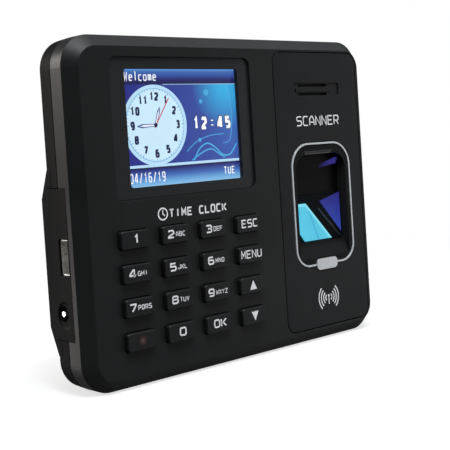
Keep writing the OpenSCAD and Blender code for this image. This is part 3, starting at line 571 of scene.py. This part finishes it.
DIGIT_W, DIGIT_H, DIGIT_PEN = 3.1, 3.2, 0.62
SMALL_W, SMALL_H, SMALL_STEP, SMALL_PEN = 1.35, 1.85, 1.6, 0.3
WORD_H, WORD_GAP = 3.35, 0.42
digit_keys = {
    "key_2": ("2", "ABC"), "key_3": ("3", "DEF"), "key_4": ("4", "GHI"), "key_5": ("5", "JKL"),
    "key_6": ("6", "MNO"), "key_7": ("7", "PQRS"), "key_8": ("8", "TUV"), "key_9": ("9", "WXYZ"),
}
for k, (digit, abc) in digit_keys.items():
    cx, cz = key_mid(k)
    if len(abc) == 4:
        cx -= 0.8
    quads = letters(digit, cx - 4.0, cz - 1.4, DIGIT_W, DIGIT_H, DIGIT_W, DIGIT_PEN)
    quads += letters(abc, cx - 0.2, cz - 0.95, SMALL_W, SMALL_H, SMALL_STEP, SMALL_PEN)
    on_key(k, "legend", quads, white_ink)
for k, text, w, pen in (("key_1", "1", 3.0, 0.65), ("key_0", "0", 3.3, 0.62),
                        ("key_esc", "ESC", 2.65, 0.55), ("key_menu", "MENU", 2.5, 0.48),
                        ("key_ok", "OK", 3.05, 0.6)):
    cx, cz = key_mid(k)
    step = w + WORD_GAP
    wide = step * (len(text) - 1) + w
    on_key(k, "legend", letters(text, cx - wide / 2 + 0.3, cz - 1.45, w, WORD_H, step, pen),
           white_ink)
for k, s in (("key_up", 1), ("key_down", -1)):
    cx, cz = key_mid(k)
    tri = [(cx - 1.6, cz - 1.75 * s), (cx + 2.2, cz - 1.75 * s), (cx + 0.3, cz + 2.0 * s)]
    on_key(k, "legend", [tri], white_ink)
cx, cz = key_mid("key_power")
lamp_x, lamp_z, lamp_r = cx + 0.2, cz + 0.2, 2.1
red_lamp = lamp("red_lamp", (lamp_x * MM, lamp_z * MM), lamp_r * MM)
on_key("key_power", "lamp", [disc(lamp_r, lamp_x, lamp_z, 32)], red_lamp)

# ---------------------------------------------------------------- printed marks on the face
lo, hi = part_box("screen_lens")
lens_x, lens_z = (lo.x + hi.x) / 2 / MM, (lo.z + hi.z) / 2 / MM
lens_w, lens_h = (hi.x - lo.x) / MM, (hi.z - lo.z) / MM
lens_back = (hi.y - face_y) / MM

mark_x, mark_z = lens_x - 14.4, lo.z / MM - 6.4
mark = strip(disc(2.15, mark_x, mark_z, 40), 0.55, True)
mark += strip([(mark_x, mark_z + 1.4), (mark_x, mark_z - 0.05), (mark_x + 1.0, mark_z - 0.7)], 0.45)
mark += letters("TIME CLOCK", mark_x + 3.0, mark_z - 1.7, w=2.45, h=3.3, pitch=2.95, stroke=0.62)
piece("face_words", mark, -PRINT_PROUD, white_ink, "case")

lo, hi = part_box("scanner_panel")
scan_x = (lo.x + hi.x) / 2 / MM
name = letters("SCANNER", scan_x - 13.6, hi.z / MM - 31.2, w=3.3, h=4.3, pitch=3.9, stroke=0.55)
piece("panel_words", name, -PRINT_PROUD, white_ink, "case")

radio_z = lo.z / MM + 11.8
ARC_PEN, DOT_R, STEM_PEN = 0.62, 0.62, 0.6
waves = []
for side in (0, 180):
    for r, a in ((1.9, 42), (3.3, 44), (4.75, 45), (6.2, 46)):
        arc = disc(r, scan_x, radio_z, 16, side - a, side + a)
        end = math.radians(side + a)
        arc.append((scan_x + r * math.cos(end), radio_z + r * math.sin(end)))
        waves += strip(arc, ARC_PEN)
waves.append(disc(DOT_R, scan_x, radio_z + 0.7, 24))
waves += strip([(scan_x, radio_z - 0.1), (scan_x, radio_z - 2.9)], STEM_PEN)
piece("radio_symbol", waves, -PRINT_PROUD, white_ink, "case")

lo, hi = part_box("light_baffle")
# Painted highlight along the baffle's ridge.
ridge = [(scan_x + 0.9, lo.z / MM + 13.7), (hi.x / MM - 0.6, lo.z / MM + 0.3)]
piece("baffle_ridge_highlight", strip(ridge, 0.75), (lo.y - face_y) / MM - 0.03, ridge_highlight_grey, "case")

# ---------------------------------------------------------------- screen
CLEAR_W, CLEAR_H = 55.95, 43.64  # mm, the opening in the lens's black print
ring_out = outline(lens_w - 0.4, lens_h - 0.3, 2.7, lens_x, lens_z)
ring_in = outline(CLEAR_W, CLEAR_H, 1.2, lens_x + 0.62, lens_z + 0.02)
piece("lens_print", frame_polys(ring_out, ring_in), lens_back - 0.04, black_print, "case")

screen_front = (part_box("lcd_panel")[0].y - face_y) / MM
# The lit picture's edges in mm, and the inner edges of its upper and lower bars.
px0, px1 = lens_x - 28.4, lens_x + 28.5
pz0, pz1 = lens_z - 21.9, lens_z + 21.9
bar_top = pz1 - 5.7
bar_low = pz0 + 7.6
LAYER_STEP = 0.03  # mm between one lit layer and the next


def picture():
    """Blue backdrop with a cyan glow at the upper right."""
    halo_x, halo_z = px1 - 6.1, pz1 - 6.7
    t = Tree("screen_backdrop")
    x, _, z = t.xyz()
    across = t.span(x, 0, 1, (px0 + 6) * MM, px1 * MM)
    near = t.math("SQRT", t.math("ADD",
                                 t.math("POWER", t.math("SUBTRACT", x, halo_x * MM), 2.0),
                                 t.math("POWER", t.math("SUBTRACT", z, halo_z * MM), 2.0)))
    halo = t.span(near, 1, 0, 2 * MM, 16.5 * MM)
    side = t.math("MULTIPLY", t.span(x, 0, 1, (px1 - 14.6) * MM, (px1 + 0.4) * MM),
                  t.span(z, 0, 1, bar_low * MM, (bar_low + 24) * MM))
    base = t.mix(across, (0.022, 0.022, 0.24), (0.05, 0.10, 0.42))
    base = t.mix(t.math("MULTIPLY", side, 0.65), base, (0.045, 0.26, 0.68))
    base = t.mix(t.math("MULTIPLY", halo, 0.95), base, (0.035, 0.50, 0.86))
    t.set(Base_Color=(0.01, 0.02, 0.05, 1), Emission_Color=base,
          Roughness=t.span(t.noise(200, 2), 0.28, 0.36))
    t.p.inputs["Emission Strength"].default_value = 1.0
    return t.mat


def bar(name, stops, z0, z1):
    """Horizontal bands of colour between two heights in mm."""
    t = Tree(name)
    z = t.xyz()[2]
    r = t.add("ShaderNodeValToRGB")
    while len(r.color_ramp.elements) < len(stops):
        r.color_ramp.elements.new(0.5)
    for e, (at, tint) in zip(r.color_ramp.elements, stops):
        e.position = at
        e.color = (*tint, 1)
    t.link(t.span(z, 0, 1, z0 * MM, z1 * MM), r.inputs[0])
    t.set(Base_Color=(0.01, 0.02, 0.05, 1), Emission_Color=r.outputs[0],
          Roughness=t.span(t.noise(200, 2), 0.28, 0.36))
    t.p.inputs["Emission Strength"].default_value = 1.0
    return t.mat


def rect(x0, x1, z0, z1):
    return [(x0, z0), (x1, z0), (x1, z1), (x0, z1)]


def layer(name, polys, level, material):
    """One printed-on-light layer of the display, each a little nearer than the last."""
    return piece(name, polys, screen_front - LAYER_STEP * (1 + level), material, "case")


layer("screen_backdrop", [rect(px0, px1, bar_low, bar_top)], 0, picture())
layer("screen_title_bar", [rect(px0, px1, bar_top, pz1)], 0,
      bar("title_bar", [(0.0, (0.009, 0.005, 0.05)), (0.3, (0.016, 0.012, 0.12)),
                        (0.55, (0.035, 0.08, 0.36)), (0.85, (0.06, 0.17, 0.5)),
                        (0.95, (0.13, 0.33, 0.72))], bar_top, pz1))
layer("screen_lower_bar", [rect(px0, px1, pz0, bar_low)], 0,
      bar("lower_bar", [(0.0, (0.3, 0.6, 0.88)), (0.2, (0.18, 0.45, 0.8)), (0.5, (0.06, 0.16, 0.5)),
                        (0.8, (0.022, 0.025, 0.2)), (0.88, (0.008, 0.005, 0.05))], pz0, bar_low))
pale = glow("screen_pale", (0.62, 0.84, 0.97), 1.0, vary=0.06)
rim = glow("screen_rim", (0.50, 0.74, 0.93), 1.0, vary=0.06)
mid = glow("screen_mid", (0.20, 0.42, 0.68), 1.0)
dusk = glow("screen_dusk", (0.05, 0.09, 0.27), 1.0)
navy = glow("screen_navy", (0.012, 0.010, 0.07), 1.0)
white = glow("screen_white", (0.95, 0.96, 1.0), 1.0, vary=0.04)
red = glow("screen_red", (0.6, 0.02, 0.05), 1.0)
aqua = glow("screen_aqua", (0.09, 0.48, 0.84), 1.0, vary=0.3)
layer("screen_rules", [rect(px0, px1, bar_low - 0.5, bar_low + 0.5),
                       rect(px0 + 20, px1, bar_top - 0.14, bar_top + 0.04)], 1, rim)

# The drawn clock's centre and radius, its dial's radius and that of its ring of numbers, in mm.
kx, kz, kr = lens_x - 13.0, lens_z + 0.9, 15.2
dial_r = kr - 1.6
number_r = 10.7
NUMBER_W, NUMBER_H, NUMBER_GAP, NUMBER_PEN = 1.95, 3.2, 0.35, 0.84
layer("clock_rim", [disc(kr, kx, kz, 72)], 2, rim)
layer("clock_edge", [disc(kr - 1.35, kx, kz, 72)], 3, mid)
layer("clock_dial", [disc(dial_r, kx, kz, 72)], 4, pale)
ticks = []
for i in range(60):
    a = math.radians(6 * i)
    long, pen = (1.0, 0.34) if i % 5 == 0 else (0.6, 0.22)
    r0 = dial_r - long
    ticks += strip([(kx + r0 * math.sin(a), kz + r0 * math.cos(a)),
                    (kx + dial_r * math.sin(a), kz + dial_r * math.cos(a))], pen)
layer("clock_ticks", ticks, 5, mid)
numbers = []
for i in range(1, 13):
    a = math.radians(30 * i)
    text = str(i)
    wide = NUMBER_W * len(text) + NUMBER_GAP * (len(text) - 1)
    numbers += letters(text, kx + number_r * math.sin(a) - wide / 2,
                       kz + number_r * math.cos(a) - NUMBER_H / 2,
                       NUMBER_W, NUMBER_H, NUMBER_W + NUMBER_GAP, NUMBER_PEN)
layer("clock_numbers", numbers, 6, navy)


def hand(angle, length, width):
    """A clock hand that widens to 0.72 of its length and then comes to a point."""
    a = math.radians(angle)
    u, v = Vector((math.sin(a), math.cos(a))), Vector((math.cos(a), -math.sin(a)))
    c = Vector((kx, kz))
    pts = [c - v * width * 0.3, c + v * width * 0.3,
           c + u * length * 0.72 + v * width / 2, c + u * length, c + u * length * 0.72 - v * width / 2]
    return [tuple(q) for q in pts]


MINUTE_TURN, HOUR_TURN = 268, 19.6
layer("hand_edges", [hand(MINUTE_TURN, 9.0, 1.5), hand(HOUR_TURN, 7.3, 1.4)], 7, dusk)
layer("hand_fills", [hand(MINUTE_TURN, 7.6, 0.7), hand(HOUR_TURN, 6.2, 0.6)], 8, white)
layer("hand_seconds", strip([(kx - 0.6, kz - 1.1), (kx + 6.9, kz + 10.0)], 0.4), 9, red)
layer("clock_hub", [disc(0.85, kx, kz, 24)], 10, navy)
shadow = letters("12:45", lens_x + 5.2, lens_z - 1.9, w=3.5, h=5.6, pitch=4.15, stroke=1.95)
digits = letters("12:45", lens_x + 5.5, lens_z - 1.6, w=2.9, h=5.0, pitch=4.15, stroke=1.25)
layer("time_shadow", shadow, 2, navy)
layer("time_digits", digits, 3, white)
title = letters("Welcome", px0 + 2.1, bar_top + 1.3, w=1.7, h=3.5, pitch=2.22, stroke=0.45)
date = letters("04/16/19", px0 + 1.95, pz0 + 1.5, w=1.55, h=3.7, pitch=2.15, stroke=0.42)
day = letters("TUE", px1 - 8.6, pz0 + 2.1, w=1.6, h=3.0, pitch=2.1, stroke=0.42)
layer("title_words", title, 3, white)
layer("date_digits", date, 3, white)
layer("day_letters", day, 3, white)


def wave(pts, steps=14):
    """Smooth line through points by Catmull-Rom."""
    p = [Vector(pts[0])] + [Vector(q) for q in pts] + [Vector(pts[-1])]
    out = []
    for i in range(1, len(p) - 2):
        for s in range(steps):
            t = s / steps
            a = 2 * p[i] + (p[i + 1] - p[i - 1]) * t
            b = (2 * p[i - 1] - 5 * p[i] + 4 * p[i + 1] - p[i + 2]) * t * t
            c = (3 * p[i] - p[i - 1] - 3 * p[i + 1] + p[i + 2]) * t ** 3
            out.append(tuple((a + b + c) / 2))
    return out + [tuple(pts[-1])]


base_z = bar_low + 1.0  # the height that the screen's drawn waves start from
lines = strip(wave([(kx + 18, base_z), (kx + 21, base_z + 4.2), (kx + 25, base_z + 6.2),
                    (kx + 29, base_z + 4.5), (kx + 33, base_z + 1.4), (kx + 37, base_z + 1.5),
                    (kx + 40.6, base_z + 5.5)]), 0.55)
lines += strip(wave([(kx + 17, base_z), (kx + 22, base_z + 2.6), (kx + 27, base_z + 3.9),
                     (kx + 31, base_z + 1.8), (kx + 34, base_z + 0.2)]), 0.5)
lines += strip(wave([(kx + 14.5, base_z + 3.5), (kx + 20, base_z + 7.2), (kx + 27, base_z + 9.2),
                     (kx + 34, base_z + 9.6)]), 0.3)
lines += [disc(0.75, kx + 21.5, base_z + 7.7, 20), disc(0.8, kx + 23, kz + 8.5, 20),
          disc(1.3, kx + 26, kz + 12, 28)]
lines += strip(wave([(kx + 36.5, bar_top - 0.5), (kx + 38.4, kz + 9), (kx + 38.8, kz + 1),
                     (kx + 37.2, kz - 7), (kx + 33.5, base_z + 6)]), 0.3)
layer("screen_waves", lines, 1, aqua)

# ---------------------------------------------------------------- stage
floor_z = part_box("rear_cover")[0].z
FLOOR_SIDES = 64
FLOOR_RINGS = [0.1, 0.25, 0.5, 0.9, 1.4]
bm = bmesh.new()
last = [bm.verts.new((0, 0, floor_z))] * FLOOR_SIDES
for r in FLOOR_RINGS:
    now = []
    for i in range(FLOOR_SIDES):
        a = 2 * math.pi * i / FLOOR_SIDES
        now.append(bm.verts.new((r * math.cos(a), r * math.sin(a), floor_z)))
    for i in range(FLOOR_SIDES):
        j = (i + 1) % FLOOR_SIDES
        corner = [last[i], last[j], now[j], now[i]]
        bm.faces.new(list(dict.fromkeys(corner)))
    last = now
me = bpy.data.meshes.new("floor")
bm.to_mesh(me)
bm.free()
floor = bpy.data.objects.new("floor", me)
bpy.context.scene.collection.objects.link(floor)
t = Tree("floor_paper")
x, y, _ = t.xyz()
away = t.math("SQRT", t.math("ADD", t.math("POWER", x, 2.0), t.math("POWER", y, 2.0)))
t.set(Base_Color=t.mix(t.span(t.noise(30, 3), 0, 1), (0.86, 0.86, 0.86), (0.9, 0.9, 0.9)),
      Roughness=t.span(t.noise(400, 3), 0.85, 0.95))
t.bump(t.noise(1200, 2), 0.1, 0.00005)
see = t.add("ShaderNodeBsdfTransparent")
fade = t.add("ShaderNodeMixShader")
seen = t.add("ShaderNodeLightPath").outputs["Is Camera Ray"]
# The paper thins out away from the object, and counts for less in bounced light than in view.
cover = t.math("MULTIPLY", t.span(away, 1, 0, 0.15, 0.5), t.math("MULTIPLY_ADD", seen, 0.22, 0.1))
t.link(t.math("SUBTRACT", 1.0, cover), fade.inputs[0])
t.link(t.p.outputs[0], fade.inputs[1])
t.link(see.outputs[0], fade.inputs[2])
t.link(fade.outputs[0], t.out.inputs[0])
me.materials.append(t.mat)

# A white backdrop in view, and a dimmer, slightly cool room for light and reflections.
world = bpy.data.worlds.new("studio")
bpy.context.scene.world = world
world.use_nodes = True
nt = world.node_tree
nt.nodes.clear()
out = nt.nodes.new("ShaderNodeOutputWorld")
path = nt.nodes.new("ShaderNodeLightPath")
dim = nt.nodes.new("ShaderNodeBackground")
dim.inputs[0].default_value = (0.95, 0.97, 1.0, 1)
dim.inputs[1].default_value = 0.15
bright = nt.nodes.new("ShaderNodeBackground")
bright.inputs[0].default_value = (1, 1, 1, 1)
bright.inputs[1].default_value = 1.0
pick = nt.nodes.new("ShaderNodeMixShader")
nt.links.new(path.outputs["Is Camera Ray"], pick.inputs[0])
nt.links.new(dim.outputs[0], pick.inputs[1])
nt.links.new(bright.outputs[0], pick.inputs[2])
nt.links.new(pick.outputs[0], out.inputs[0])


def softbox(name, place, aim, size, power, tint):
    """Rectangular lamp at a place in metres, turned towards its aim."""
    d = bpy.data.lights.new(name, "AREA")
    d.shape = "RECTANGLE"
    d.size, d.size_y = size
    d.energy = power
    d.color = tint
    o = bpy.data.objects.new(name, d)
    bpy.context.scene.collection.objects.link(o)
    o.location = place
    o.rotation_mode = "QUATERNION"
    o.rotation_quaternion = (Vector(aim) - Vector(place)).to_track_quat("-Z", "Y")


softbox("top_box", (-0.05, -0.35, 0.8), (0, 0, 0), (0.8, 0.6), 12, (0.97, 0.985, 1.0))
softbox("bevel_strip", (0.6, 0.03, 0.65), (0, 0, 0), (0.4, 0.3), 0.35, (0.85, 0.93, 1.0))
softbox("corner_box", (-0.2, -0.38, 0.9), (-0.07, -0.03, 0.06), (0.08, 0.08), 2.2, (0.84, 0.93, 1.0))
softbox("right_fill", (0.85, -0.6, -0.05), (0, 0, 0), (0.5, 0.5), 1.0, (0.98, 0.99, 1.0))
softbox("low_rim", (-0.5, 0.6, -0.22), (-0.07, 0, -0.05), (0.25, 0.2), 1.1, (1.0, 0.95, 0.92))
softbox("left_rim", (-0.5, 0.6, 0.3), (-0.07, 0, 0.05), (0.4, 0.3), 4.6, (1.0, 0.94, 0.9))

# ---------------------------------------------------------------- camera
cam_data = bpy.data.cameras.new("camera")
cam_data.sensor_width = 36.0
cam_data.lens = 78.29
cam_data.shift_y = -0.1
cam_data.clip_start = 0.01
cam_data.clip_end = 20
cam = bpy.data.objects.new("camera", cam_data)
bpy.context.scene.collection.objects.link(cam)
CAMERA_PLACE = (-0.2663, -0.3248, 0.0226)
TILT, PAN, ROLL = 0.0371, -0.7276, -0.0636
level = Matrix(((1, 0, 0), (0, 0, -1), (0, 1, 0)))  # looks along +Y with +Z up
turn = (Matrix.Rotation(ROLL, 3, "Z") @ Matrix.Rotation(TILT, 3, "X")
        @ Matrix.Rotation(PAN, 3, "Y") @ level)
right, down, ahead = turn
axes = Matrix((right, -down, -ahead)).transposed()
cam.matrix_world = Matrix.Translation(CAMERA_PLACE) @ axes.to_4x4()
bpy.context.scene.camera = cam
bpy.context.scene.view_settings.view_transform = "Standard"
